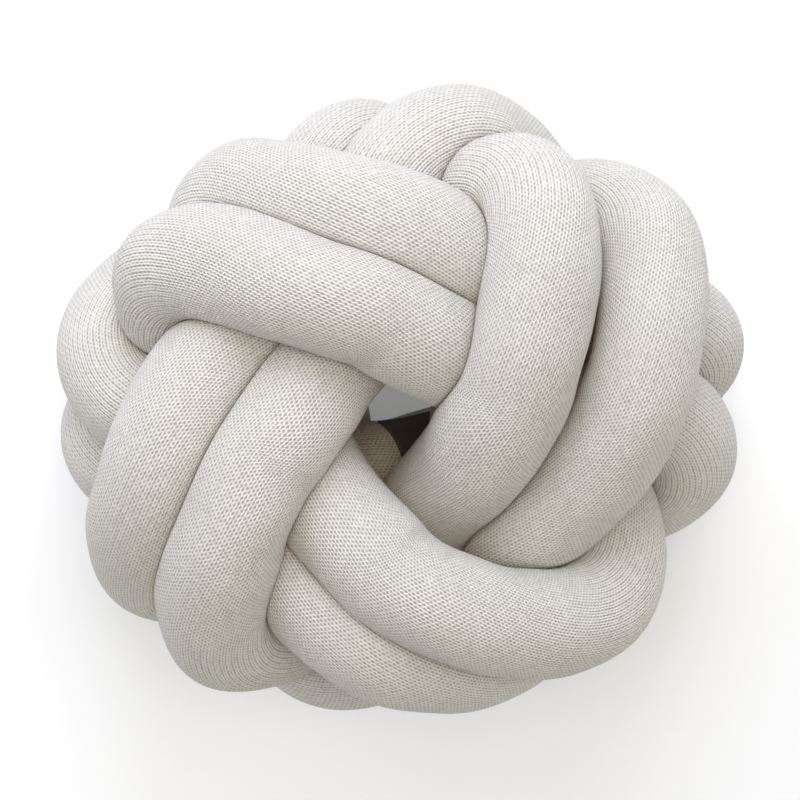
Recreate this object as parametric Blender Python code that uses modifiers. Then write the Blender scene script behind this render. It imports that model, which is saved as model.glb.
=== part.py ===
"""Knot cushion: two stuffed knitted tubes led side by side through one flat round knot.

Seen from above, the pair of tubes crosses itself four times round a square hole, and four times
more underneath, turned an eighth of a turn. Each tube closes on itself after three windings.
Sizes are in millimetres and angles in degrees; the meshes are made in metres, +Z up, lying on
the cushion's back with +X to the right and +Y away, as seen from above.
"""

from collections import namedtuple

import bpy
import numpy as np

MM = 0.001

# The stuffed tube. Its sections are filled out in a few rounds, and two least values keep a
# division from running away.
TUBE_RADIUS = 23.0
GAP = 1.2
PRESS_SHARPNESS = 9.0
BEND_SHARE = 0.86
NEAR_ALONG = 60.0
MOST_BULGE = 1.1
SMOOTH_ALONG = 20.0
FILLING_ROUNDS = 4
LEAST_TOWARDS = 0.001
LEAST_BEND = 1e-6

# The knot
PASSES = 4
TURN_PER_PASS = 270.0
FIRST_PEAK_AT = 9.0
BETWEEN_TUBES = 45.0
SECOND_AHEAD = 0.5
OVAL = 0.037
REST_FLAT = 5.0

# One pass of the first tube, from its highest point over the top to the next one. The second
# tube follows the same table from the middle, upside down.
Station = namedtuple("Station", "place turn_deg reach_mm height_mm")
STATIONS = (
    Station("highest, over the pair before", 0, 55, 58),
    Station("along the square hole", 30, 41, 47),
    Station("down under the pair after", 87, 47, 18),
    Station("outwards below that pair", 97, 90, 15),
    Station("round the rim", 110, 121, -6),
    Station("rolling underneath", 126, 113, -38),
    Station("lowest, outer of the pair", 146, 94, -50),
    Station("inwards again", 175, 77, -34),
    Station("above the lower pair", 198, 77, -19),
    Station("out to the rim", 212, 95, 1),
    Station("up the rim", 226, 116, 31),
    Station("rolling on to the top", 247, 80, 60),
)

# How the hand-laid passes differ from that even course, in degrees and millimetres. The up column
# shifts a pass where it comes up the rim, the top columns where it lies over the top, and the rim
# columns where it shows beyond the pair after.
Trim = namedtuple("Trim", "side up_reach top_turn top_reach top_height rim_turn rim_reach rim_height")
FIRST_TRIMS = (
    Trim("right", 0, -13, -6, 2, 6, 5, -7),
    Trim("far", -4, 0, 0, 2, 0, 3, -7),
    Trim("left", 5, -2, 1, 3, -1, -1, -6),
    Trim("near", -3, 14, 7, 1, -4, 0, 2),
)
SECOND_TRIMS = (
    Trim("left", 0, -5, 0, 5, 0, -6, 1),
    Trim("near", -5, 11, -2, -3, -2, 9, 6),
    Trim("right", 3, -12, 3, 2, 4, -6, -2),
    Trim("far", -3, -5, -6, -3, 0, 12, 3),
)
UP_REACH = 0.1
UP_AT = -0.15
TOP_REACH = 0.27
RIM_REACH = 0.17
RIM_AT = (0.34, 0.29)

# The label, sewn on the second tube where it shows in the hole. Its ends are shares of the tube's
# length, and it lies round the side of the tube that faces the way given.
LABEL_ENDS = (0.895, 0.905)
LABEL_FACES = (0.0, 0.6, 0.8)
LABEL_WIDTH = 31.0
LABEL_OFF_TUBE = 0.5
LABEL_THICK = 1.0

# Colours and finishes
KNIT_COLOUR = (0.74, 0.72, 0.68)
KNIT_ROUGHNESS = 0.95
LABEL_COLOUR = (0.10, 0.08, 0.06)
LABEL_ROUGHNESS = 0.8

# Meshes
FINE_STEPS = 1200
RINGS = 200
SIDES = 14
NEIGHBOUR_STEPS = 400


def closed_curve(values, at):
    """A smooth closed curve through evenly spaced values, read at places counted in rounds."""
    count = len(values)
    one = np.eye(count)
    spread = (4 * one + np.roll(one, 1, axis=1) + np.roll(one, -1, axis=1)) / 6
    pulls = np.linalg.solve(spread, np.asarray(values, float))
    cell = np.floor(at * count).astype(int)
    t = at * count - cell
    shares = ((1 - t) ** 3, 3 * t**3 - 6 * t**2 + 4, -3 * t**3 + 3 * t**2 + 3 * t + 1, t**3)
    return sum(share * pulls[(cell + step - 1) % count] for step, share in enumerate(shares)) / 6


def bump(rounds, centre, reach):
    """One at the centre, fading to nothing on either side, round the closed tube."""
    away = (rounds - centre + PASSES / 2) % PASSES - PASSES / 2
    return np.exp(-((away / reach) ** 2))


def evenly(points, count):
    """The closed line through these points, cut into equal lengths."""
    ring = np.vstack([points, points[:1]])
    along = np.concatenate([[0.0], np.cumsum(np.linalg.norm(np.diff(ring, axis=0), axis=1))])
    places = np.arange(count) / count * along[-1]
    return np.stack([np.interp(places, along, ring[:, axis]) for axis in range(3)], axis=1)


def course(second):
    """The middle line of a tube as points in millimetres, one row each."""
    rounds = np.arange(FINE_STEPS) / FINE_STEPS * PASSES
    place = rounds + (SECOND_AHEAD if second else 0.0)
    extra = [s.turn_deg - TURN_PER_PASS * i / len(STATIONS) for i, s in enumerate(STATIONS)]
    turn = TURN_PER_PASS * place + closed_curve(extra, place)
    reach = closed_curve([s.reach_mm for s in STATIONS], place)
    height = closed_curve([s.height_mm for s in STATIONS], place)
    if second:
        turn = turn + BETWEEN_TUBES
        height = -height
    for number, trim in enumerate(SECOND_TRIMS if second else FIRST_TRIMS):
        up = bump(rounds, number + UP_AT, UP_REACH)
        top = bump(rounds, number, TOP_REACH)
        rim = bump(rounds, number + RIM_AT[second], RIM_REACH)
        turn = turn + trim.top_turn * top + trim.rim_turn * rim
        reach = reach + trim.up_reach * up + trim.top_reach * top + trim.rim_reach * rim
        height = height + trim.top_height * top + trim.rim_height * rim
    angle = np.radians(FIRST_PEAK_AT - turn)
    x = reach * np.cos(angle) * (1 + OVAL)
    y = reach * np.sin(angle) * (1 - OVAL)
    return np.stack([x, y, height], axis=1)


def unit(vectors):
    return vectors / np.linalg.norm(vectors, axis=-1, keepdims=True)


def frames(points):
    """At each point the way along the tube and two ways across it that turn as little as can be."""
    along = unit(np.roll(points, -1, axis=0) - np.roll(points, 1, axis=0))
    across = np.empty_like(along)
    across[0] = unit(np.cross(along[0], [0.0, 0.0, 1.0]))
    for i in range(1, len(points)):
        across[i] = unit(across[i - 1] - along[i] * (across[i - 1] @ along[i]))
    last = unit(across[-1] - along[0] * (across[-1] @ along[0]))
    wind = np.arctan2(np.cross(last, across[0]) @ along[0], last @ across[0])
    turn = (wind * np.arange(len(points)) / len(points))[:, None]
    beside = np.cross(along, across)
    across = across * np.cos(turn) + beside * np.sin(turn)
    return along, across, np.cross(along, across)


def half_way(ways, offsets):
    """How far a surface can go each way before it is nearer, by the gap, to any of the offsets."""
    towards = ways @ offsets.T
    room = (np.sum(offsets**2, axis=1) - GAP**2) / (2 * np.maximum(towards + GAP, LEAST_TOWARDS))
    return np.min(np.where(towards > 0, room, np.inf), axis=1)


def filled_out(room, step):
    """Radii that keep the filling's room in each section where its neighbours press it flat."""
    radius = np.full(len(room), TUBE_RADIUS)
    full = np.pi * TUBE_RADIUS**2
    window = np.exp(-((np.arange(-SMOOTH_ALONG, SMOOTH_ALONG + step, step) / SMOOTH_ALONG * 2) ** 2))
    window = window / window.sum()
    for _ in range(FILLING_ROUNDS):
        reach = softly(radius[:, None], room)
        area = 0.5 * np.sin(2 * np.pi / room.shape[1]) * np.sum(reach * np.roll(reach, 1, axis=1), axis=1)
        radius = np.clip(radius * np.sqrt(full / area), TUBE_RADIUS, TUBE_RADIUS * MOST_BULGE)
        ring = np.concatenate([radius[-len(window) :], radius, radius[: len(window)]])
        radius = np.convolve(ring, window, mode="same")[len(window) : -len(window)]
    return softly(radius[:, None], room)


def softly(free, room):
    """The lesser of a free radius and the room there is, with the corner between them rounded."""
    return (free**-PRESS_SHARPNESS + room**-PRESS_SHARPNESS) ** (-1 / PRESS_SHARPNESS)


def tube_surface(points, other, rings, sides):
    """Rows of points round the tube: a round section, pressed flat halfway to its neighbours."""
    middle = evenly(points, rings)
    step = np.linalg.norm(np.roll(middle, -1, axis=0) - middle, axis=1).mean()
    along, across, beside = frames(middle)
    bend = (np.roll(along, -1, axis=0) - np.roll(along, 1, axis=0)) / (2 * step)
    around = np.linspace(0.0, 2 * np.pi, sides, endpoint=False)[:, None]
    number = np.arange(rings)
    ways = np.empty((rings, sides, 3))
    room = np.empty((rings, sides))
    for i in range(rings):
        ways[i] = np.cos(around) * across[i] + np.sin(around) * beside[i]
        apart = np.abs((number - i + rings // 2) % rings - rings // 2) * step
        others = np.vstack([middle[apart > NEAR_ALONG], other]) - middle[i]
        inwards = np.maximum(ways[i] @ bend[i], LEAST_BEND)
        room[i] = np.minimum(half_way(ways[i], others), BEND_SHARE / inwards)
    return middle[:, None] + ways * filled_out(room, step)[:, :, None]


def label_patch(surface):
    """The part of the tube's surface that the label covers."""
    rings, sides = surface.shape[:2]
    start, end = (round(share * rings) for share in LABEL_ENDS)
    middle = surface[start]
    facing = np.argmax((middle - middle.mean(axis=0)) @ LABEL_FACES)
    across = round(LABEL_WIDTH / (2 * np.pi * TUBE_RADIUS / sides))
    columns = (facing - across // 2 + np.arange(across + 1)) % sides
    return surface[start : end + 1][:, columns]


# Blender objects

for thing in list(bpy.data.objects):
    bpy.data.objects.remove(thing)

cushion = bpy.data.collections.new("knot_cushion")
bpy.context.scene.collection.children.link(cushion)


def plain_material(name, colour, roughness):
    material = bpy.data.materials.new(name)
    material.use_nodes = True
    surface = material.node_tree.nodes["Principled BSDF"]
    surface.inputs["Base Color"].default_value = (*colour, 1.0)
    surface.inputs["Roughness"].default_value = roughness
    return material


def add_object(name, grid, closed, material):
    """A named object from a grid of points in millimetres, joined up both ways round if closed."""
    rows, columns = grid.shape[:2]
    number = np.arange(rows * columns).reshape(rows, columns)
    beside, after = np.roll(number, -1, axis=1), np.roll(number, -1, axis=0)
    faces = np.stack([number, beside, np.roll(after, -1, axis=1), after], axis=-1)
    if not closed:
        faces = faces[:-1, :-1]
    mesh = bpy.data.meshes.new(name)
    mesh.from_pydata((grid.reshape(-1, 3) * MM).tolist(), [], faces.reshape(-1, 4).tolist())
    mesh.materials.append(material)
    body = bpy.data.objects.new(name, mesh)
    cushion.objects.link(body)
    return body


def rested(surfaces):
    """The surfaces set down on their lowest places, those pressed flat, and centred."""
    floor = min(surface[..., 2].min() for surface in surfaces) + REST_FLAT
    everything = np.vstack([surface.reshape(-1, 3) for surface in surfaces])
    middle = (everything.min(axis=0) + everything.max(axis=0)) / 2
    shift = np.array([middle[0], middle[1], floor])
    return [np.maximum(surface, [-np.inf, -np.inf, floor]) - shift for surface in surfaces]


first_line, second_line = course(False), course(True)
first, second = rested(
    [
        tube_surface(first_line, evenly(second_line, NEIGHBOUR_STEPS), RINGS, SIDES),
        tube_surface(second_line, evenly(first_line, NEIGHBOUR_STEPS), RINGS, SIDES),
    ]
)
knit = plain_material("knit_warm_white", KNIT_COLOUR, KNIT_ROUGHNESS)
add_object("tube_first", first, True, knit)
add_object("tube_second", second, True, knit)
ribbon = plain_material("label_dark", LABEL_COLOUR, LABEL_ROUGHNESS)
patch = add_object("label", label_patch(second), False, ribbon)
seat = patch.modifiers.new("seat", "DISPLACE")
seat.strength = LABEL_OFF_TUBE * MM
seat.mid_level = 0.0
thickness = patch.modifiers.new("thickness", "SOLIDIFY")
thickness.thickness = LABEL_THICK * MM
thickness.offset = 1.0
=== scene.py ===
# %% [markdown]
# # A knot cushion: two stuffed knitted tubes, led side by side through one round knot
#
# The real cushion is sewn from off-white jersey in stocking stitch. Two tubes of it are filled firmly
# with fibre and led together over and under each other, until they press into a round, heavy knot with
# a small square hole in the middle. This lesson gives the plain solids their knit: the soft pressing of
# tube on tube, the columns of stitches that bend round with them, the fluff, the label and the light.

# %% Load the fixed frame
from collections import namedtuple

import bpy
import numpy as np
from mathutils import Matrix, Vector
from mathutils.bvhtree import BVHTree


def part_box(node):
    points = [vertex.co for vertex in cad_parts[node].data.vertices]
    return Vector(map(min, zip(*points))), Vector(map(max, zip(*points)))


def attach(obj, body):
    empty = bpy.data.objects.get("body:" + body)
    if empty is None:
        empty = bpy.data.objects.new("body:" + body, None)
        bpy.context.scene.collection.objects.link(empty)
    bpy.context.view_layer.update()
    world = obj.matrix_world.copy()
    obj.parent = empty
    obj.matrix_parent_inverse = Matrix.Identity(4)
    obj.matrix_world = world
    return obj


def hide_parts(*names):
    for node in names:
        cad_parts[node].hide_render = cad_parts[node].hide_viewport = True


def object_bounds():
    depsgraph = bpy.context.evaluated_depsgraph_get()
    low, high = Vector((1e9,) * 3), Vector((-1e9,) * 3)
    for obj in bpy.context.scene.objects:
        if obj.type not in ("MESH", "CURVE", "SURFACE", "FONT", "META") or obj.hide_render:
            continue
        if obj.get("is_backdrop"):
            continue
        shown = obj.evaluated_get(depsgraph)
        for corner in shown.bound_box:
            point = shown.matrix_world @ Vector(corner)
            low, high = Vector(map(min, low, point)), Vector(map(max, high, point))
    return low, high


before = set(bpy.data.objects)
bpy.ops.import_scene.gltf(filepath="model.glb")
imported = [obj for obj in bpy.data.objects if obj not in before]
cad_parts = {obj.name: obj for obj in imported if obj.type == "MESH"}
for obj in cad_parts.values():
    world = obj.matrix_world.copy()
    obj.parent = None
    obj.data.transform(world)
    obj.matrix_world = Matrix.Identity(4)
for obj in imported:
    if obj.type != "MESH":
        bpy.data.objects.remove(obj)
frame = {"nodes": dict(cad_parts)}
cad_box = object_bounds()
MM = 0.001
print("solids in the frame:", ", ".join(frame["nodes"]))

# %% [markdown]
# ## The course of the tubes
#
# A knot like this can't be pushed into shape by eye from every side, but its course is regular, so it
# is written down once. One pass of the first tube goes from its highest point over the top, down beside
# the square hole, round the rim, underneath, and up again. Four passes bring it back to its start after
# three windings. The second tube follows the same table from the middle, turned upside down. The trims
# say how far each hand-laid pass strays from that even course: where it comes up the rim, where it lies
# over the top, and where it shows at the rim again. All of these tables are the ones that the solids
# were made from.

# %% The tables of the course
TUBE_RADIUS = 23.0
PASSES = 4
TURN_PER_PASS = 270.0
FIRST_PEAK_AT = 9.0
BETWEEN_TUBES = 45.0
SECOND_AHEAD = 0.5
OVAL = 0.037

Station = namedtuple("Station", "place turn_deg reach_mm height_mm")
STATIONS = (
    Station("highest, over the pair before", 0, 55, 58),
    Station("along the square hole", 30, 41, 47),
    Station("down under the pair after", 87, 47, 18),
    Station("outwards below that pair", 97, 90, 15),
    Station("round the rim", 110, 121, -6),
    Station("rolling underneath", 126, 113, -38),
    Station("lowest, outer of the pair", 146, 94, -50),
    Station("inwards again", 175, 77, -34),
    Station("above the lower pair", 198, 77, -19),
    Station("out to the rim", 212, 95, 1),
    Station("up the rim", 226, 116, 31),
    Station("rolling on to the top", 247, 80, 60),
)

Trim = namedtuple("Trim", "side up_reach top_turn top_reach top_height rim_turn rim_reach rim_height")
FIRST_TRIMS = (
    Trim("right", 0, -13, -6, 2, 6, 5, -7),
    Trim("far", -4, 0, 0, 2, 0, 3, -7),
    Trim("left", 5, -2, 1, 3, -1, -1, -6),
    Trim("near", -3, 14, 7, 1, -4, 0, 2),
)
SECOND_TRIMS = (
    Trim("left", 0, -5, 0, 5, 0, -6, 1),
    Trim("near", -5, 11, -2, -3, -2, 9, 6),
    Trim("right", 3, -12, 3, 2, 4, -6, -2),
    Trim("far", -3, -5, -6, -3, 0, 12, 3),
)
UP_REACH = 0.1
UP_AT = -0.15
TOP_REACH = 0.27
RIM_REACH = 0.17
FIRST_RIM_AT = 0.34
SECOND_RIM_AT = 0.29
print(len(STATIONS), "stations make a pass,", PASSES, "passes make a tube")


# %% A smooth curve through a table, and a place on it
def closed_curve(values, at):
    """A smooth closed curve, a cubic spline through evenly spaced values, read at places in rounds."""
    count = len(values)
    one = np.eye(count)
    spread = (4 * one + np.roll(one, 1, axis=1) + np.roll(one, -1, axis=1)) / 6
    pulls = np.linalg.solve(spread, np.asarray(values, float))
    cell = np.floor(at * count).astype(int)
    t = at * count - cell
    shares = ((1 - t) ** 3, 3 * t**3 - 6 * t**2 + 4, -3 * t**3 + 3 * t**2 + 3 * t + 1, t**3)
    return sum(share * pulls[(cell + step - 1) % count] for step, share in enumerate(shares)) / 6


def bump(rounds, centre, reach):
    """One at the centre and fading to nothing on both sides, also past the place where a tube closes."""
    away = (rounds - centre + PASSES / 2) % PASSES - PASSES / 2
    return np.exp(-((away / reach) ** 2))


# %% From the tables to the middle line of a tube
def course(second, steps=1200):
    """The middle line of a tube in millimetres: the even course, and on it the trims of each pass."""
    rounds = np.arange(steps) / steps * PASSES
    place = rounds + (SECOND_AHEAD if second else 0.0)
    extra = [s.turn_deg - TURN_PER_PASS * i / len(STATIONS) for i, s in enumerate(STATIONS)]
    turn = TURN_PER_PASS * place + closed_curve(extra, place)
    reach = closed_curve([s.reach_mm for s in STATIONS], place)
    height = closed_curve([s.height_mm for s in STATIONS], place)
    if second:
        turn = turn + BETWEEN_TUBES
        height = -height
    trims, rim_at = (SECOND_TRIMS, SECOND_RIM_AT) if second else (FIRST_TRIMS, FIRST_RIM_AT)
    for number, trim in enumerate(trims):
        up = bump(rounds, number + UP_AT, UP_REACH)
        top = bump(rounds, number, TOP_REACH)
        rim = bump(rounds, number + rim_at, RIM_REACH)
        turn = turn + trim.top_turn * top + trim.rim_turn * rim
        reach = reach + trim.up_reach * up + trim.top_reach * top + trim.rim_reach * rim
        height = height + trim.top_height * top + trim.rim_height * rim
    angle = np.radians(FIRST_PEAK_AT - turn)
    x = reach * np.cos(angle) * (1 + OVAL)
    y = reach * np.sin(angle) * (1 - OVAL)
    return np.stack([x, y, height], axis=1)


def evenly(points, count):
    """The closed line through these points, cut into equal lengths."""
    ring = np.vstack([points, points[:1]])
    along = np.concatenate([[0.0], np.cumsum(np.linalg.norm(np.diff(ring, axis=0), axis=1))])
    places = np.arange(count) / count * along[-1]
    return np.stack([np.interp(places, along, ring[:, axis]) for axis in range(3)], axis=1)


def length_of(points):
    return np.linalg.norm(np.roll(points, -1, axis=0) - points, axis=1).sum()


first_line, second_line = course(False), course(True)
print(f"tube lengths: {length_of(first_line):.0f} and {length_of(second_line):.0f} mm")

# %% [markdown]
# ## Tubes that press on each other
#
# A stuffed tube wants to be round, but here each one leans on its neighbours, so it goes flat where
# they touch and bulges a little where it is free. A cloth simulation could find that shape, at the cost
# of minutes. The rule behind it is simple enough to write down instead: in every direction the surface
# stops halfway to the nearest neighbour's middle line, or at its own free radius if that comes first.
# On the inside of a bend it also stops short of the bend's own centre. The corner between the two is
# rounded, more sharply than on the solids, because real tubes meet in deep thin creases. The free
# radius grows a little where a section is pressed, so the filling keeps its room, and soft lumps in the
# filling make it uneven.


# %% Frames that travel along a tube
def unit(vectors):
    return vectors / np.linalg.norm(vectors, axis=-1, keepdims=True)


def frames(points):
    """At each point the way along the tube and two ways across it that turn as little as can be."""
    along = unit(np.roll(points, -1, axis=0) - np.roll(points, 1, axis=0))
    across = np.empty_like(along)
    across[0] = unit(np.cross(along[0], [0.0, 0.0, 1.0]))
    for i in range(1, len(points)):
        across[i] = unit(across[i - 1] - along[i] * (across[i - 1] @ along[i]))
    last = unit(across[-1] - along[0] * (across[-1] @ along[0]))
    wind = np.arctan2(np.cross(last, across[0]) @ along[0], last @ across[0])
    turn = (wind * np.arange(len(points)) / len(points))[:, None]
    beside = np.cross(along, across)
    across = across * np.cos(turn) + beside * np.sin(turn)
    return along, across, np.cross(along, across)


# %% The room round a tube
NEAR_ALONG = 60.0
BEND_SHARE = 0.86
LEAST_TOWARDS = 0.001
LEAST_BEND = 1e-6


def half_way(ways, offsets, gap):
    """How far a surface can go each way before it is nearer, by the gap, to any of the offsets."""
    towards = ways @ offsets.T
    room = (np.sum(offsets**2, axis=1) - gap**2) / (2 * np.maximum(towards + gap, LEAST_TOWARDS))
    return np.min(np.where(towards > 0, room, np.inf), axis=1)


def room_round(middle, other, sides, gap):
    """The ways outwards at each place of a tube, and the room that its neighbours leave there."""
    rings = len(middle)
    step = length_of(middle) / rings
    along, across, beside = frames(middle)
    bend = (np.roll(along, -1, axis=0) - np.roll(along, 1, axis=0)) / (2 * step)
    around = np.linspace(0.0, 2 * np.pi, sides, endpoint=False)[:, None]
    number = np.arange(rings)
    ways = np.empty((rings, sides, 3))
    room = np.empty((rings, sides))
    for i in range(rings):
        ways[i] = np.cos(around) * across[i] + np.sin(around) * beside[i]
        apart = np.abs((number - i + rings // 2) % rings - rings // 2) * step
        others = np.vstack([middle[apart > NEAR_ALONG], other]) - middle[i]
        inwards = np.maximum(ways[i] @ bend[i], LEAST_BEND)
        room[i] = np.minimum(half_way(ways[i], others, gap), BEND_SHARE / inwards)
    return ways, room


# %% Filling out the room
MOST_BULGE = 1.1
SMOOTH_ALONG = 20.0
FILLING_ROUNDS = 4


def softly(free, room, sharpness):
    """The lesser of a free radius and the room there is, with the corner between them rounded."""
    return (free**-sharpness + room**-sharpness) ** (-1 / sharpness)


def section_area(reach):
    turn = 2 * np.pi / reach.shape[1]
    return 0.5 * np.sin(turn) * np.sum(reach * np.roll(reach, 1, axis=1), axis=1)


def filled_out(room, step, sharpness, lumps):
    """Radii that keep the filling's room in each section where its neighbours press it flat."""
    radius = np.full(len(room), TUBE_RADIUS)
    window = np.exp(-((np.arange(-SMOOTH_ALONG, SMOOTH_ALONG + step, step) / SMOOTH_ALONG * 2) ** 2))
    window = window / window.sum()
    for _ in range(FILLING_ROUNDS):
        area = section_area(softly(radius[:, None], room, sharpness))
        radius = radius * np.sqrt(np.pi * TUBE_RADIUS**2 / area)
        radius = np.clip(radius, TUBE_RADIUS, TUBE_RADIUS * MOST_BULGE)
        ring = np.concatenate([radius[-len(window) :], radius, radius[: len(window)]])
        radius = np.convolve(ring, window, mode="same")[len(window) : -len(window)]
    return softly(radius[:, None] + lumps, room, sharpness)


# %% Lumps in the filling
LUMP_WAVES = 60
LUMP_DEPTH = 0.42
LONGEST_LUMP = 150.0
SHORTEST_LUMP = 24.0
MOST_LUMP_TURNS = 3


def soft_lumps(rings, sides, length, seed):
    """Gentle unevenness of the filling, the same on every run, that closes both ways round."""
    chance = np.random.default_rng(seed)
    along = np.arange(rings)[:, None] / rings
    around = np.arange(sides)[None, :] / sides
    lumps = np.zeros((rings, sides))
    for _ in range(LUMP_WAVES):
        waves = round(length / chance.uniform(SHORTEST_LUMP, LONGEST_LUMP))
        turns = chance.integers(-MOST_LUMP_TURNS, MOST_LUMP_TURNS + 1)
        phase = chance.uniform()
        lumps += np.cos(2 * np.pi * (waves * along + turns * around + phase))
    return lumps * LUMP_DEPTH / np.sqrt(LUMP_WAVES / 2)


# %% The surface of a tube
CAD_MESH = dict(rings=200, sides=14, gap=1.2, sharpness=9.0)
FINE_MESH = dict(rings=960, sides=96, gap=0.12, sharpness=40.0)
NEIGHBOUR_STEPS = 400


def tube_surface(points, other, rings, sides, gap, sharpness, seed=None):
    """Rows of points round the tube: a round section, pressed flat halfway to its neighbours."""
    middle = evenly(points, rings)
    ways, room = room_round(middle, evenly(other, NEIGHBOUR_STEPS), sides, gap)
    length = length_of(middle)
    lumps = 0.0 if seed is None else soft_lumps(rings, sides, length, seed)
    return middle[:, None] + ways * filled_out(room, length / rings, sharpness, lumps)[:, :, None]


first_fine = tube_surface(first_line, second_line, **FINE_MESH, seed=1)
second_fine = tube_surface(second_line, first_line, **FINE_MESH, seed=2)
print("fine surfaces of", first_fine.shape[0], "rings with", first_fine.shape[1], "points each")

# %% [markdown]
# ## Setting the cushion down where the solids lie
#
# The solids were set down on the floor and centred, with their lowest places pressed flat. To find the
# same shift, the coarse surfaces are made again and compared with the boxes of the solids. The fine
# tubes then take that shift and rest flat on the floor too.

# %% Set the fine tubes down
REST_FLAT = 5.0

coarse = [
    tube_surface(first_line, second_line, **CAD_MESH),
    tube_surface(second_line, first_line, **CAD_MESH),
]
everything = np.vstack([surface.reshape(-1, 3) for surface in coarse])
plan_middle = (everything.min(axis=0) + everything.max(axis=0))[:2] / 2
shift = np.append(plan_middle, everything[:, 2].min() + REST_FLAT)


def set_down(surface):
    """The surface in the frame's place, its lowest places pressed flat on the floor."""
    return np.maximum(surface - shift, [-np.inf, -np.inf, 0.0])


first_fine, second_fine = set_down(first_fine), set_down(second_fine)
off_corner = set_down(coarse[0]).min(axis=(0, 1)) - np.array(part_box("tube_first")[0]) / MM
print("off the first solid's low corner, in mm:", np.round(off_corner, 3))

# %% [markdown]
# ## From rows of points to a knitted tube
#
# Each grid of points becomes a closed ring of four-sided faces. Its UV map runs once round the tube
# and once along it, so that stitches drawn in it follow every bend, crowd together on the inside of a
# curve and spread on the outside, as real ones do.


# %% A mesh from a grid of points
def grid_faces(rings, sides):
    number = np.arange(rings * sides).reshape(rings, sides)
    beside, after = np.roll(number, -1, axis=1), np.roll(number, -1, axis=0)
    return np.stack([number, beside, np.roll(after, -1, axis=1), after], axis=-1).reshape(-1, 4)


def tube_object(name, grid):
    """A closed tube from a grid of points in millimetres, with a UV map round and along it."""
    rings, sides = grid.shape[:2]
    mesh = bpy.data.meshes.new(name)
    mesh.from_pydata((grid.reshape(-1, 3) * MM).tolist(), [], grid_faces(rings, sides).tolist())
    ring, side = np.meshgrid(np.arange(rings), np.arange(sides), indexing="ij")
    corners = [(side, ring), (side + 1, ring), (side + 1, ring + 1), (side, ring + 1)]
    places = np.array([[u / sides, v / rings] for u, v in corners]).transpose(2, 3, 0, 1)
    mesh.uv_layers.new(name="knit").uv.foreach_set("vector", places.astype(np.float32).ravel())
    mesh.shade_smooth()
    body = bpy.data.objects.new(name, mesh)
    bpy.context.scene.collection.objects.link(body)
    return body


first_tube = tube_object("knit_tube_first", first_fine)
second_tube = tube_object("knit_tube_second", second_fine)
for piece, node in ((first_tube, "tube_first"), (second_tube, "tube_second")):
    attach(piece, "root")
    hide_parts(node)
print("knitted tubes:", first_tube.name, "and", second_tube.name)

# %% [markdown]
# ## Where the knot shelters its own yarn
#
# Deep in the creases and down in the hole the real yarn looks browner and darker: the light that gets
# there has gone from fibre to fibre. The material paints that shade into the yarn's colour, and for that
# it has to know how sheltered each place is. So rays go out from a coarse grid of places on each tube,
# and the share of them that the cushion itself stops is kept on the mesh as an attribute. It belongs to
# the cushion, not to a camera, so the painted shade lies in the same places from every side.


# %% Ways out from a grid, and values between its points
def all_ways(count):
    """Directions spread evenly over a sphere."""
    number = np.arange(count) + 0.5
    height = 1 - 2 * number / count
    turn = np.pi * (1 + np.sqrt(5)) * number
    flat = np.sqrt(1 - height**2)
    return np.stack([flat * np.cos(turn), flat * np.sin(turn), height], axis=1)


def outwards_of(grid):
    """The way out of the surface at each point of a closed grid."""
    along = np.roll(grid, -1, axis=0) - np.roll(grid, 1, axis=0)
    around = np.roll(grid, -1, axis=1) - np.roll(grid, 1, axis=1)
    way = unit(np.cross(along, around))
    middle = grid.mean(axis=1, keepdims=True)
    return way * np.sign(np.sum(way * (grid - middle), axis=(1, 2), keepdims=True))


def spread_out(values, times):
    """A closed grid of values read at so many times as many places each way."""
    for axis in (0, 1):
        following = np.roll(values, -1, axis=axis)
        steps = [values + (following - values) * step / times for step in range(times)]
        shape = list(values.shape)
        shape[axis] *= times
        values = np.stack(steps, axis=axis + 1).reshape(shape)
    return values


# %% The share of the sky that the cushion hides
RAYS = 64
COARSER = 4
LEAST_LEAN = 0.1
OFF_SURFACE = 1.0


def shelter_of(grid, blocks):
    """How much of the sky the blocks hide from each point of a closed grid, from none to one."""
    coarse = grid[::COARSER, ::COARSER]
    ways = all_ways(RAYS)
    out = outwards_of(coarse)
    lean = out @ ways.T
    hidden = np.zeros(coarse.shape[:2])
    for place in np.ndindex(hidden.shape):
        start = Vector(coarse[place] + out[place] * OFF_SURFACE)
        for number in np.flatnonzero(lean[place] > LEAST_LEAN):
            if blocks.ray_cast(start, Vector(ways[number]))[0] is not None:
                hidden[place] += lean[place][number]
    hidden /= np.sum(np.maximum(lean, 0.0), axis=2)
    soft = sum(np.roll(hidden, step, axis=axis) for step in (-1, 0, 1) for axis in (0, 1)) / 6
    return spread_out(soft, COARSER)


def keep_on(piece, name, values):
    """Keep a value at each point of a mesh, for its material to read."""
    attribute = piece.data.attributes.new(name, "FLOAT", "POINT")
    attribute.data.foreach_set("value", values.astype(np.float32).ravel())


blocking = [surface[::COARSER, ::COARSER] for surface in (first_fine, second_fine)]
points = np.vstack([grid.reshape(-1, 3) for grid in blocking])
faces = grid_faces(*blocking[0].shape[:2])
faces = np.vstack([faces, faces + blocking[0].shape[0] * blocking[0].shape[1]])
blocks = BVHTree.FromPolygons(points.tolist(), faces.tolist())
for piece, grid in ((first_tube, first_fine), (second_tube, second_fine)):
    shelter = shelter_of(grid, blocks)
    keep_on(piece, "shelter", shelter)
    print(f"{piece.name}: {shelter.mean():.2f} of the sky hidden on average, {shelter.max():.2f} at most")

# %% [markdown]
# ## Where the cloth is pulled taut
#
# Where a tube bends sharply over the rim or up beside the hole, its cloth is pulled along the columns.
# The legs of the stitches straighten there, and the columns stand out as ribs, while on the straight
# stretches the V of each stitch stays open. So the bend of the middle line is kept on the mesh too, as
# the share of the sharpest bend that a tube this thick could take.


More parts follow.
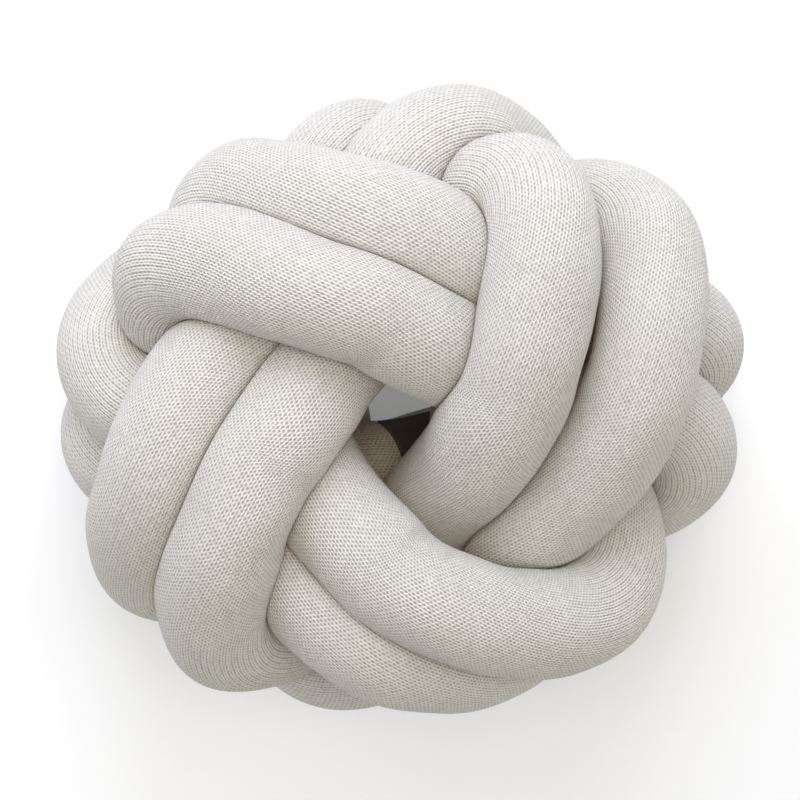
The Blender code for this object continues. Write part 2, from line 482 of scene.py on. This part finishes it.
# %% The bend of each tube
def bend_of(points, rings):
    """The radius of the tube divided by the radius of its bend, at evenly spaced places."""
    middle = evenly(points, rings)
    along = unit(np.roll(middle, -1, axis=0) - np.roll(middle, 1, axis=0))
    turned = np.linalg.norm(np.roll(along, -1, axis=0) - np.roll(along, 1, axis=0), axis=1)
    return TUBE_RADIUS * turned / (2 * length_of(middle) / rings)


for piece, line, grid in ((first_tube, first_line, first_fine), (second_tube, second_line, second_fine)):
    rings, sides = (count // COARSER for count in grid.shape[:2])
    bend = spread_out(np.repeat(bend_of(line, rings)[:, None], sides, axis=1), COARSER)
    keep_on(piece, "bend", bend)
    print(piece.name, "bends by", np.round(np.percentile(bend, (5, 25, 50, 75, 95)), 2))

# %% [markdown]
# ## Helpers for material nodes
#
# The finishes below are small sums on a surface's coordinates. A few helpers keep them readable: each
# adds one kind of node and joins up its inputs. A Mix node has sockets of the same names for every kind
# of value, so those for colours go by their numbers.

# %% Nodes for sums and colours
MIX_COLOUR_INPUTS = (0, 6, 7)
MIX_COLOUR_OUTPUT = 2


def feed(tree, socket, value):
    """Join a socket to another one, or set it to a plain value."""
    if isinstance(value, bpy.types.NodeSocket):
        tree.links.new(value, socket)
    else:
        socket.default_value = value


def math(tree, operation, *values):
    """A Math node whose inputs are sockets or numbers. Gives back its output."""
    node = tree.nodes.new("ShaderNodeMath")
    node.operation = operation
    for socket, value in zip(node.inputs, values):
        feed(tree, socket, value)
    return node.outputs[0]


def smooth_step(tree, value, start, end):
    """A value that goes smoothly from zero at the start to one at the end."""
    node = tree.nodes.new("ShaderNodeMapRange")
    node.interpolation_type = "SMOOTHSTEP"
    for name, amount in (("Value", value), ("From Min", start), ("From Max", end)):
        feed(tree, node.inputs[name], amount)
    return node.outputs["Result"]


def mix_colours(tree, factor, first, second, blend="MIX"):
    """A colour Mix node between two colours, each a socket or a plain colour."""
    node = tree.nodes.new("ShaderNodeMix")
    node.data_type = "RGBA"
    node.blend_type = blend
    for number, value in zip(MIX_COLOUR_INPUTS, (factor, first, second)):
        feed(tree, node.inputs[number], value)
    return node.outputs[MIX_COLOUR_OUTPUT]


def noise(tree, vector, scale, detail):
    """A Noise node on a vector. Gives back the node, since its value and its colour both have uses."""
    node = tree.nodes.new("ShaderNodeTexNoise")
    node.inputs["Scale"].default_value = scale
    node.inputs["Detail"].default_value = detail
    tree.links.new(vector, node.inputs["Vector"])
    return node


def parts_of(tree, vector):
    """The X, Y and Z of a vector or a colour as three sockets."""
    node = tree.nodes.new("ShaderNodeSeparateXYZ")
    tree.links.new(vector, node.inputs[0])
    return node.outputs


def flat_vector(tree, x, y):
    """A vector with this X and Y."""
    node = tree.nodes.new("ShaderNodeCombineXYZ")
    tree.links.new(x, node.inputs["X"])
    tree.links.new(y, node.inputs["Y"])
    return node.outputs[0]


# %% [markdown]
# ## Helpers for coordinates, groups and materials
#
# A pattern starts from what a piece knows of its own surface: its UV map, and the values kept on its
# mesh. An effect is a node group with named inputs and outputs, and a material is a Principled BSDF with
# a few of its inputs set, and here and there a bump.


# %% Nodes for coordinates, groups and materials
def kept_value(tree, name):
    """An attribute that was kept on the mesh."""
    node = tree.nodes.new("ShaderNodeAttribute")
    node.attribute_name = name
    return node.outputs["Fac"]


def uv_parts(tree, name):
    """The two coordinates of a piece's own UV map."""
    node = tree.nodes.new("ShaderNodeUVMap")
    node.uv_map = name
    return parts_of(tree, node.outputs["UV"])


def new_group(name, inputs, outputs):
    """A shader node group, its input node and its output node. A socket named Colour is a colour."""
    tree = bpy.data.node_groups.new(name, "ShaderNodeTree")
    for way, sockets in (("INPUT", inputs), ("OUTPUT", outputs)):
        for socket in sockets:
            kind = "NodeSocketColor" if socket == "Colour" else "NodeSocketFloat"
            tree.interface.new_socket(name=socket, in_out=way, socket_type=kind)
    return tree, tree.nodes.new("NodeGroupInput"), tree.nodes.new("NodeGroupOutput")


def place_group(tree, group, **values):
    """A group node whose named inputs are sockets or numbers."""
    node = tree.nodes.new("ShaderNodeGroup")
    node.node_tree = group
    for name, value in values.items():
        feed(tree, node.inputs[name], value)
    return node


def new_material(name, finish):
    """A material and its Principled BSDF, whose named inputs are set."""
    material = bpy.data.materials.new(name)
    material.use_nodes = True
    surface = material.node_tree.nodes["Principled BSDF"]
    for socket, value in finish.items():
        surface.inputs[socket].default_value = value
    return material, surface


def add_relief(tree, surface, height, distance):
    """A bump on the surface, where a height of one stands this far up."""
    relief = tree.nodes.new("ShaderNodeBump")
    relief.inputs["Distance"].default_value = distance
    tree.links.new(height, relief.inputs["Height"])
    tree.links.new(relief.outputs["Normal"], surface.inputs["Normal"])


# %% [markdown]
# ## The stocking stitch
#
# A stocking stitch shows as a V: two legs of yarn that start close together, lean outwards, and slip
# under the next stitch of their column, which starts close together again. Seen from a step away, the
# legs join into two wavy strands to a column, one the mirror image of the other. So a point of the
# fabric needs only its distance to the strand: the strand's middle swings out over most of a row and
# back over the rest of it, its height falls away on both sides like a round yarn's, and it sinks where
# it slips under. Small gaps stay inside the V and between the columns, half a row apart, and they give
# jersey its brick pattern of dots.

# %% The stocking stitch as a node group
STRAND_NEAR = 0.14
STRAND_FAR = 0.36
STRAND_HALF = 0.25
SWINGS_OUT = 0.62
TAUT_STRAIGHTENS = 0.32
STRAND_SINKS = 0.22
GAP_BELOW = 0.6


def strand_height(tree, column, row, thickness, taut):
    """The height of the nearer strand's round yarn, where one is the top of a strand."""
    from_middle = math(tree, "ABSOLUTE", math(tree, "SUBTRACT", math(tree, "FRACT", column), 0.5))
    up_row = math(tree, "FRACT", row)
    out = math(tree, "DIVIDE", up_row, SWINGS_OUT)
    back = math(tree, "DIVIDE", math(tree, "SUBTRACT", 1.0, up_row), 1.0 - SWINGS_OUT)
    swing = math(tree, "MINIMUM", out, back)
    loose = math(tree, "MULTIPLY_ADD", taut, -TAUT_STRAIGHTENS, 1.0)
    sideways = math(tree, "MULTIPLY", swing, loose)
    strand = math(tree, "MULTIPLY_ADD", sideways, STRAND_FAR - STRAND_NEAR, STRAND_NEAR)
    half = math(tree, "MULTIPLY", thickness, STRAND_HALF)
    away = math(tree, "DIVIDE", math(tree, "SUBTRACT", from_middle, strand), half)
    falls = math(tree, "SUBTRACT", 1.0, math(tree, "MULTIPLY", away, away))
    sinks = math(tree, "MULTIPLY_ADD", swing, -STRAND_SINKS, 1.0)
    return math(tree, "MULTIPLY", math(tree, "MAXIMUM", falls, 0.0), sinks)


def make_stitches():
    """The fabric at a place counted in columns and rows, with a random number for each leg."""
    inputs = ["Column", "Row", "Thickness", "Taut"]
    tree, given, result = new_group("stocking_stitch", inputs, ["Height", "Gap", "Stitch"])
    height = strand_height(tree, *(given.outputs[name] for name in inputs))
    tree.links.new(height, result.inputs["Height"])
    tree.links.new(smooth_step(tree, height, GAP_BELOW, 0.0), result.inputs["Gap"])
    side = math(tree, "FLOOR", math(tree, "MULTIPLY", given.outputs["Column"], 2.0))
    leg = flat_vector(tree, side, math(tree, "FLOOR", given.outputs["Row"]))
    chance = tree.nodes.new("ShaderNodeTexWhiteNoise")
    tree.links.new(leg, chance.inputs["Vector"])
    tree.links.new(chance.outputs["Value"], result.inputs["Stitch"])
    return tree


stitches = make_stitches()
print("the stitches' group has", len(stitches.nodes), "nodes")

# %% [markdown]
# ## The jersey
#
# The yarn is spun from slightly different off-white fibres, so each leg of a stitch has its own tint and
# longer streaks follow the yarn along its row. Light dies in the gaps between the legs. Nothing on the
# tube is quite regular either: soft noise pulls the stitches a little out of line and makes the yarn
# thicker here and thinner there. The tube twisted while it was stuffed and led round, so its columns
# wind round it in a shallow screw. The counts come from the photo's stitches, which are 2.6 mm wide and
# 1.7 mm high on the tube's middle line, more on the outside of a bend. Jersey can also be built from
# real loops of yarn, but so many loops would take millions of faces and look the same from this far.
#
# Both tubes are the same cloth, so all this is one group. Only the number of rows differs.

# %% The tint of the yarn
STITCH_TINT = 0.25
STREAKS = dict(scale=0.7, detail=1.0)
STREAK_LENGTH = 16.0
STREAK_TINT = 0.3
DRIFT = dict(scale=26.0, detail=4.0)
DRIFT_TINT = 0.2
FIBRE_TINT = 0.25


def yarn_tint(tree, where, column, row, stitch, fibres):
    """How light the yarn is: a share from its stitch, its row's streaks, a slow drift and its fibres."""
    yarn_way = flat_vector(tree, math(tree, "DIVIDE", column, STREAK_LENGTH), row)
    streaks = noise(tree, yarn_way, **STREAKS).outputs["Fac"]
    drift = noise(tree, where, **DRIFT).outputs["Fac"]
    tint = math(tree, "MULTIPLY", stitch, STITCH_TINT)
    for part, share in ((streaks, STREAK_TINT), (drift, DRIFT_TINT), (fibres, FIBRE_TINT)):
        tint = math(tree, "MULTIPLY_ADD", part, share, tint)
    return tint


# %% The jersey as a node group
COLUMNS = 57
ROW_HEIGHT = 1.68
SPIRAL = -150
YARN_LIGHT = (0.85, 0.82, 0.76, 1.0)
YARN_DARK = (0.715, 0.685, 0.625, 1.0)
# painted shade: the darker colour of the gaps between the legs, where light dies
GAP_SHADE = (0.46, 0.43, 0.38, 1.0)
# painted shade: the brown that the yarn is multiplied by where it is most sheltered, deep in the creases
PAINTED_CREASE_SHADE = (1.0, 0.77, 0.55, 1.0)
ONLY_DEEP = 12.0
STRAYS = dict(scale=110.0, detail=2.0)
STRAY_BY = 0.25
SPINNING = dict(scale=420.0, detail=2.0)
SPUN_BY = 0.7
GAP_VARIES = 1.4
FIBRES = dict(scale=1500.0, detail=2.0)
FIBRE_HEIGHT = 0.25
TAUT_FROM = 0.3
TAUT_AT = 0.6


def stitch_place(tree, given, where):
    """The column and the row of a place on a tube, pulled a little out of line."""
    around, along = uv_parts(tree, "knit")[:2]
    strays = parts_of(tree, noise(tree, where, **STRAYS).outputs["Color"])
    column = math(tree, "MULTIPLY", around, given.outputs["Columns"])
    column = math(tree, "MULTIPLY_ADD", along, given.outputs["Spiral"], column)
    row = math(tree, "MULTIPLY", along, given.outputs["Rows"])
    column = math(tree, "MULTIPLY_ADD", strays["X"], STRAY_BY, column)
    return column, math(tree, "MULTIPLY_ADD", strays["Y"], STRAY_BY, row)


def make_jersey():
    """The colour and height of jersey, from its columns, its rows and the columns that it winds by."""
    tree, given, result = new_group("jersey", ["Columns", "Rows", "Spiral"], ["Colour", "Height"])
    where = tree.nodes.new("ShaderNodeTexCoord").outputs["Object"]
    column, row = stitch_place(tree, given, where)
    spun = noise(tree, where, **SPINNING).outputs["Fac"]
    fibres = noise(tree, where, **FIBRES).outputs["Fac"]
    thickness = math(tree, "MULTIPLY_ADD", math(tree, "SUBTRACT", spun, 0.5), SPUN_BY, 1.0)
    taut = smooth_step(tree, kept_value(tree, "bend"), TAUT_FROM, TAUT_AT)
    fabric = place_group(tree, stitches, Column=column, Row=row, Thickness=thickness, Taut=taut)
    tint = yarn_tint(tree, where, column, row, fabric.outputs["Stitch"], fibres)
    yarn = mix_colours(tree, tint, YARN_DARK, YARN_LIGHT)
    open_more = math(tree, "MULTIPLY_ADD", spun, -GAP_VARIES, 1.0 + GAP_VARIES / 2)
    gap = math(tree, "MULTIPLY", fabric.outputs["Gap"], open_more)
    # painted shade: the yarn is darkened in the gaps between the legs
    colour = mix_colours(tree, gap, yarn, GAP_SHADE)
    # painted shade: deep in the creases and the hole, the yarn is multiplied towards brown by its shelter
    painted_shade = math(tree, "POWER", kept_value(tree, "shelter"), ONLY_DEEP)
    colour = mix_colours(tree, painted_shade, colour, PAINTED_CREASE_SHADE, "MULTIPLY")
    tree.links.new(colour, result.inputs["Colour"])
    height = math(tree, "MULTIPLY_ADD", fibres, FIBRE_HEIGHT, fabric.outputs["Height"])
    tree.links.new(height, result.inputs["Height"])
    return tree


jersey = make_jersey()
print("the jersey's group has", len(jersey.nodes), "nodes")

# %% [markdown]
# ## The tubes' material
#
# Jersey is dull, and its fluff catches a little light at grazing angles, which a weak sheen gives. The
# height of the yarn becomes a bump: at this size a bump shades like real relief.

# %% The knit on the tubes
YARN_HEIGHT = 0.68 * MM
JERSEY_FINISH = {
    "Roughness": 0.95,
    "Specular IOR Level": 0.2,
    "Sheen Weight": 0.3,
    "Sheen Roughness": 0.5,
}


def knit_material(name, rows):
    material, surface = new_material(name, JERSEY_FINISH)
    tree = material.node_tree
    cloth = place_group(tree, jersey, Columns=float(COLUMNS), Rows=float(rows), Spiral=float(SPIRAL))
    tree.links.new(cloth.outputs["Colour"], surface.inputs["Base Color"])
    add_relief(tree, surface, cloth.outputs["Height"], YARN_HEIGHT)
    return material


for piece, line in ((first_tube, first_line), (second_tube, second_line)):
    rows = round(length_of(line) / ROW_HEIGHT)
    piece.data.materials.append(knit_material(piece.name + "_jersey", rows))
    print(piece.name, "has", COLUMNS, "columns and", rows, "rows of stitches")

# %% [markdown]
# ## The label
#
# A small dark woven label is sewn to the second tube and shows through the square hole. It lies on the
# tube's own surface, so its rows are taken from there, lifted a little, and thickened.

# %% The label's sheet
LABEL_ENDS = (0.888, 0.9065)
LABEL_FACES = (0.0, 0.6, 0.8)
LABEL_WIDTH = 31.0
LABEL_LIFT = 0.35
LABEL_THICK = 0.9


def label_patch(surface):
    """The tube's surface under the label, on the side that the label faces, lifted off the tube."""
    rings, sides = surface.shape[:2]
    start, end = (round(share * rings) for share in LABEL_ENDS)
    ring = surface[end]
    facing = np.argmax((ring - ring.mean(axis=0)) @ LABEL_FACES)
    across = round(LABEL_WIDTH / (2 * np.pi * TUBE_RADIUS / sides))
    columns = (facing - across // 2 + np.arange(across + 1)) % sides
    rows = surface[start : end + 1]
    outwards = unit(rows - rows.mean(axis=1, keepdims=True))
    return (rows + outwards * LABEL_LIFT)[:, columns]


def label_object(grid):
    rows, columns = grid.shape[:2]
    number = np.arange(rows * columns).reshape(rows, columns)
    faces = np.stack([number[:-1, :-1], number[:-1, 1:], number[1:, 1:], number[1:, :-1]], axis=-1)
    mesh = bpy.data.meshes.new("woven_label")
    mesh.from_pydata((grid.reshape(-1, 3) * MM).tolist(), [], faces.reshape(-1, 4).tolist())
    u, v = np.meshgrid(np.linspace(0, 1, columns), np.linspace(0, 1, rows))
    corner = np.stack([u, v], axis=-1).reshape(-1, 2)[faces.reshape(-1)]
    mesh.uv_layers.new(name="weave").uv.foreach_set("vector", corner.astype(np.float32).ravel())
    mesh.shade_smooth()
    body = bpy.data.objects.new("woven_label", mesh)
    bpy.context.scene.collection.objects.link(body)
    body.modifiers.new("thickness", "SOLIDIFY")
    body.modifiers["thickness"].thickness = LABEL_THICK * MM
    body.modifiers["thickness"].offset = 1.0
    return body


patch = label_patch(second_fine)
label = label_object(patch)
label_length = np.linalg.norm(np.diff(patch[:, patch.shape[1] // 2], axis=0), axis=1).sum()
label_width = np.linalg.norm(np.diff(patch[patch.shape[0] // 2], axis=0), axis=1).sum()
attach(label, "root")
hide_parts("label")
print(f"label of {label_width:.0f} by {label_length:.0f} mm")

# %% [markdown]
# ## The label's weave
#
# The ribbon is a plain weave: each thread goes over one crossing thread and under the next. On a square
# of the pattern either the warp or the weft lies on top, turn and turn about like a chessboard, and it
# stands up round in the middle of its own width.

# %% The label's material
THREAD_WIDTH = 0.5
THREAD_HEIGHT = 0.2 * MM
RIBBON_DARK = (0.07, 0.050, 0.036, 1.0)
RIBBON_LIGHT = (0.15, 0.115, 0.085, 1.0)
CROWN_NOISE = dict(scale=300.0, detail=3.0)
RIBBON_FINISH = {"Roughness": 0.8}


def label_material(width, length):
    material, surface = new_material("woven_ribbon", RIBBON_FINISH)
    tree = material.node_tree
    across_label, along_label = uv_parts(tree, "weave")[:2]
    warp = math(tree, "MULTIPLY", across_label, float(round(width / THREAD_WIDTH)))
    weft = math(tree, "MULTIPLY", along_label, float(round(length / THREAD_WIDTH)))
    square = math(tree, "ADD", math(tree, "FLOOR", warp), math(tree, "FLOOR", weft))
    weft_on_top = math(tree, "FLOORED_MODULO", square, 2.0)
    across = math(tree, "MULTIPLY_ADD", math(tree, "SUBTRACT", weft, warp), weft_on_top, warp)
    height = math(tree, "SINE", math(tree, "MULTIPLY", math(tree, "FRACT", across), np.pi))
    where = tree.nodes.new("ShaderNodeTexCoord").outputs["Object"]
    # the raised middle of each thread is made lighter, by a noise
    lighter_crowns = math(tree, "MULTIPLY", noise(tree, where, **CROWN_NOISE).outputs["Fac"], height)
    colour = mix_colours(tree, lighter_crowns, RIBBON_DARK, RIBBON_LIGHT)
    tree.links.new(colour, surface.inputs["Base Color"])
    add_relief(tree, surface, height, THREAD_HEIGHT)
    return material


label.data.materials.append(label_material(label_width, label_length))
print("the label has", round(label_width / THREAD_WIDTH), "warp threads")

# %% [markdown]
# ## Floor, light and camera
#
# The photo shows the cushion on pure white, lit softly from all sides and most from the far side. A
# white floor alone would be black where it is seen through the hole, so this one glows a little, like a
# light table, with a trace of blue that keeps it white under the warm lights. Seven soft disks stand
# round the cushion. The far low one is the strongest, and it and the left one are a little cool. The far
# high, near and upper ones are a little warm, so the shaded near sides turn creamy, as in the photo. The
# camera looks almost straight down on the face.

# %% The floor
FLOOR_SIZE = 8.0
FLOOR_FINISH = {
    "Base Color": (0.9, 0.9, 0.9, 1.0),
    "Roughness": 1.0,
    "Specular IOR Level": 0.0,
    "Emission Color": (0.93, 0.96, 1.0, 1.0),
    "Emission Strength": 0.15,
}

bpy.ops.object.select_all(action="DESELECT")
bpy.ops.mesh.primitive_plane_add(size=FLOOR_SIZE, location=(0.0, 0.0, 0.0))
floor = bpy.context.object
floor.name = "floor"
floor.data.materials.append(new_material("pale_floor", FLOOR_FINISH)[0])
floor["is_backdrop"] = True
print("a floor of", FLOOR_SIZE, "m")

# %% The light of the room
ROOM_LIGHT = 0.1

scene = bpy.context.scene
scene.view_settings.view_transform = "Standard"
scene.world = bpy.data.worlds.new("studio")
scene.world.use_nodes = True
room = scene.world.node_tree.nodes["Background"]
room.inputs["Color"].default_value = (1.0, 1.0, 1.0, 1.0)
room.inputs["Strength"].default_value = ROOM_LIGHT
print("the room gives", ROOM_LIGHT, "of plain white light")

# %% The soft lights
LIGHT_AIM = (0.0, 0.0, 0.08)
LIGHT_SIZE = 1.2
WARM = (1.0, 0.96, 0.85)
COOL = (0.96, 1.0, 1.20)


def soft_light(name, place, power, colour=(1.0, 1.0, 1.0)):
    """A round soft light that looks at the middle of the cushion."""
    lamp = bpy.data.lights.new(name, "AREA")
    lamp.shape = "DISK"
    lamp.size = LIGHT_SIZE
    lamp.energy = power
    lamp.color = colour
    body = bpy.data.objects.new(name, lamp)
    scene.collection.objects.link(body)
    back = unit(np.subtract(place, LIGHT_AIM))
    right = unit(np.cross([0.0, 1.0, 0.0], back))
    turn = np.stack([right, np.cross(back, right), back], axis=1)
    body.matrix_world = Matrix.Translation(place) @ Matrix(turn.tolist()).to_4x4()


soft_light("far_high", (0.0, 1.0, 1.9), 7.6, WARM)
soft_light("far_low", (0.0, 1.6, 0.9), 20.0, COOL)
soft_light("far_left", (-1.1, 1.1, 0.9), 5.5)
soft_light("left", (-1.6, 0.1, 1.1), 7.4, COOL)
soft_light("right", (1.6, 0.1, 1.1), 9.2)
soft_light("near", (0.0, -1.6, 1.1), 5.1, WARM)
soft_light("above", (0.0, 0.2, 2.1), 11.5, WARM)
print("soft lights:", ", ".join(lamp.name for lamp in bpy.data.lights))

# %% The camera
CAMERA_TILT = 11.6
CAMERA_AWAY = 1.24
CAMERA_AIM = (0.0, 0.003, 0.082)
VIEW_WIDTH = 0.35

tilt = np.radians(CAMERA_TILT)
back = np.array([0.0, np.sin(tilt), np.cos(tilt)])
up = np.array([0.0, np.cos(tilt), -np.sin(tilt)])
turn = Matrix(np.stack([np.cross(up, back), up, back], axis=1).tolist())
lens = bpy.data.cameras.new("camera")
lens.angle = 2 * np.arctan(VIEW_WIDTH / 2 / CAMERA_AWAY)
camera = bpy.data.objects.new("camera", lens)
scene.collection.objects.link(camera)
camera.matrix_world = Matrix.Translation(CAMERA_AIM + back * CAMERA_AWAY) @ turn.to_4x4()
scene.camera = camera
print(f"the camera leans {CAMERA_TILT} degrees and sees {VIEW_WIDTH / MM:.0f} mm across")

# %% [markdown]
# ## Sizes
#
# The dressed cushion has to fill the same box as its solids, so both boxes are printed side by side.

# %% Print the sizes
seen_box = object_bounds()
for name, (low, high) in (("solids", cad_box), ("dressed", seen_box)):
    print(name, np.round(np.subtract(high, low) / MM, 1), "mm")
